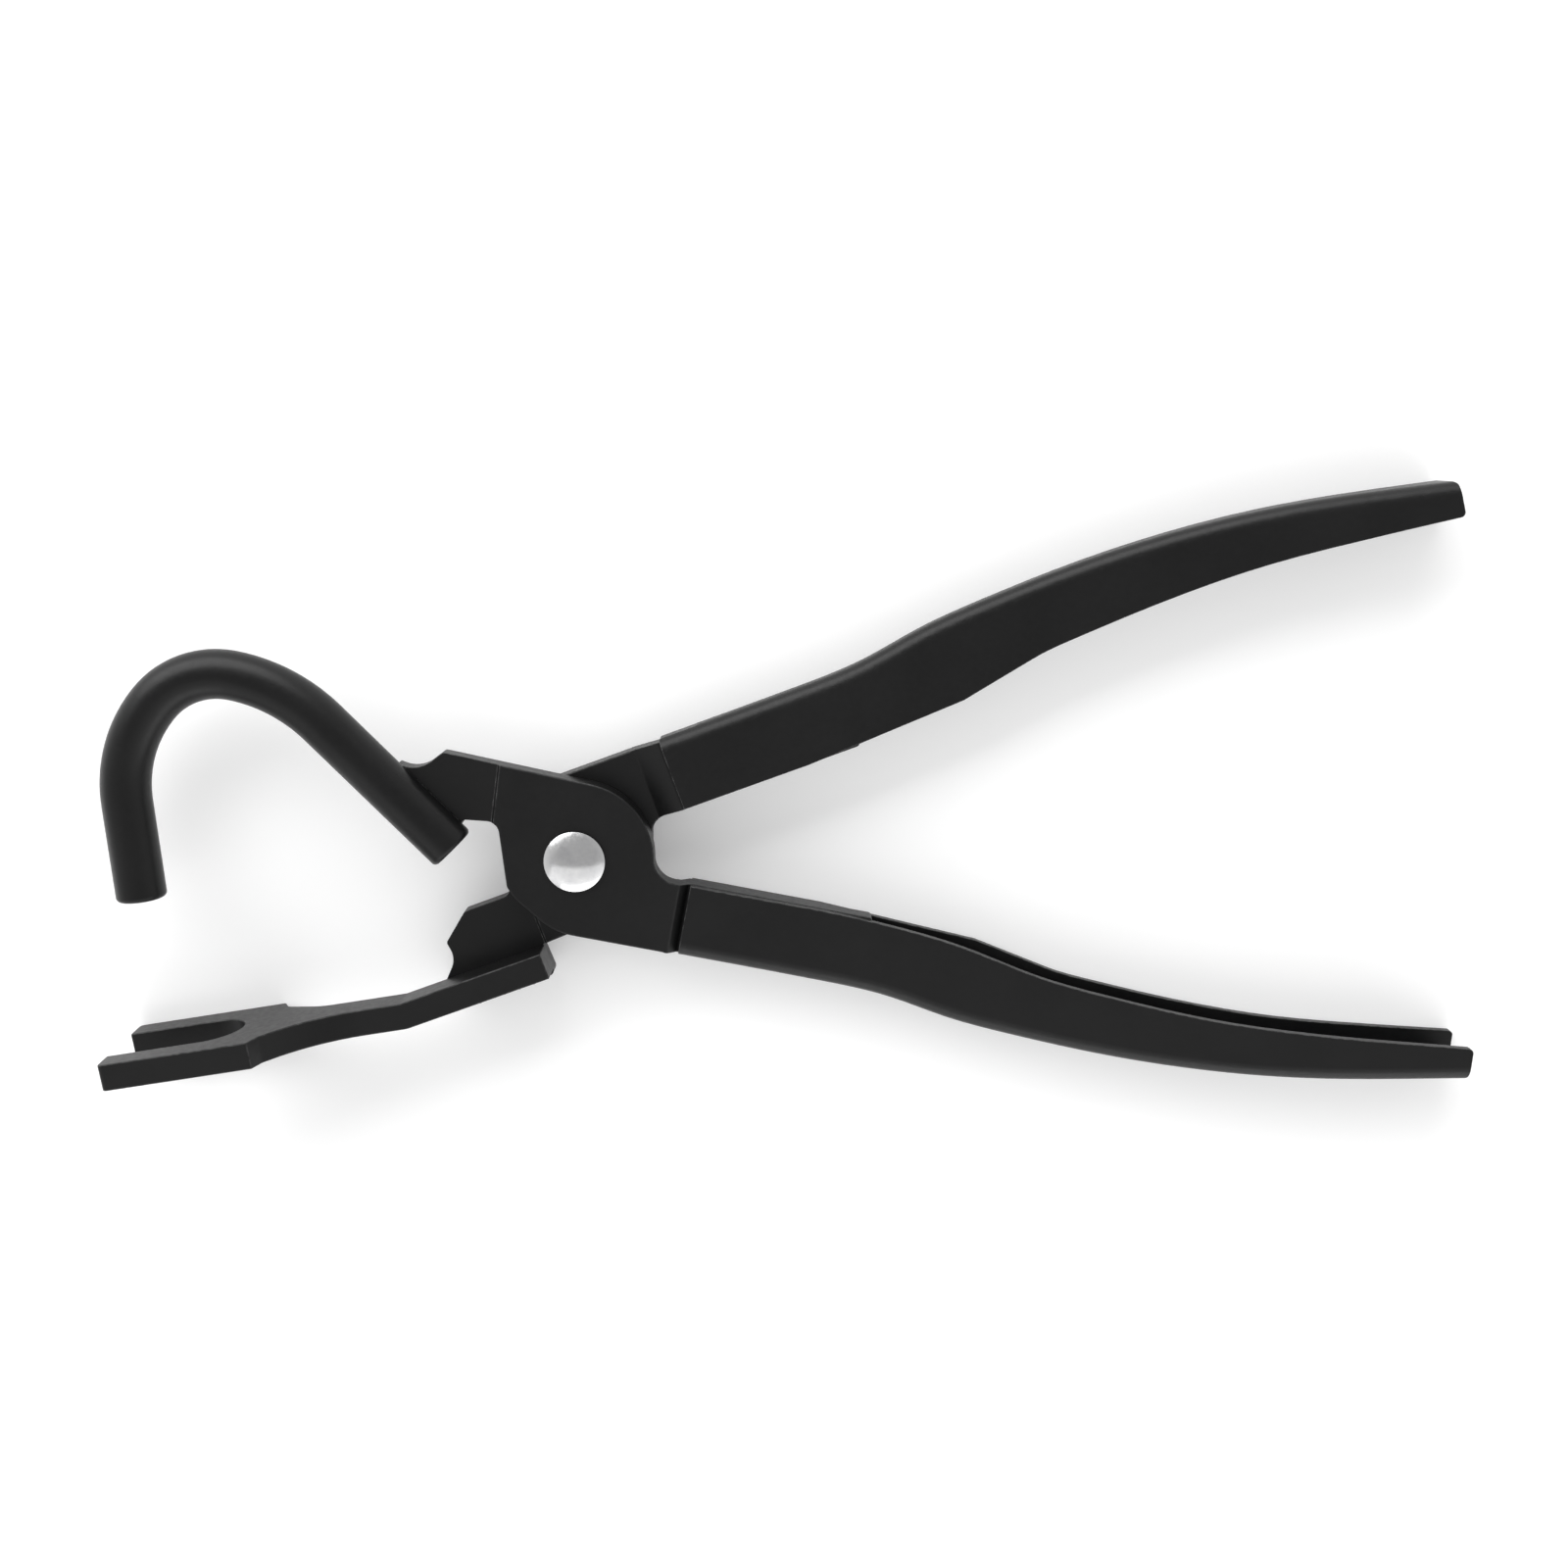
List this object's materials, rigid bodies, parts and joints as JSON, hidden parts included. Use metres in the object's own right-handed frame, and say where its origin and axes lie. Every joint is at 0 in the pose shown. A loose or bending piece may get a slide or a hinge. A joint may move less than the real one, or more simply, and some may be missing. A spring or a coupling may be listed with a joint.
{
  "type": "exhaust hanger removal pliers",
  "caption": "Black steel pliers that push exhaust hanger rods out of rubber isolators: a curved push rod faces a slotted fork across a domed rivet, with folded channel handles.",
  "frame": {"origin": "centre of the bounding box at its bottom face: the tool lies flat, with the side of the fork's rear prong on the surface", "axes": "+X from the jaws towards the handles, +Y towards the handle of the fork arm, +Z along the pivot towards the domed rivet head"},
  "size_m": [0.2796, 0.123, 0.0268],
  "materials": {
    "coated_plate": "satin black coat",
    "coated_bar": "satin black coat",
    "coated_sheet": "satin black coat",
    "coated_weld": "satin black coat over rippled weld",
    "bright_rivet": "bright plated"
  },
  "bodies": {
    "fork_half": {"head_plate_back": "coated_plate", "fork_jaw": "coated_bar", "handle_upper": "coated_sheet", "pivot_rivet": "bright_rivet", "fork_weld": "coated_weld", "handle_weld_upper": "coated_weld"},
    "rod_half": {"head_plate_front": "coated_plate", "push_rod": "coated_bar", "handle_lower": "coated_sheet", "rod_weld": "coated_weld", "handle_weld_lower": "coated_weld"}
  },
  "joints": [
    {"name": "pivot", "type": "hinge", "parent": "fork_half", "child": "rod_half", "pos_m": [-0.04459, -0.01468, 0.0078], "axis": [0, 0, 1], "range_deg": [-45, 30]}
  ]
}
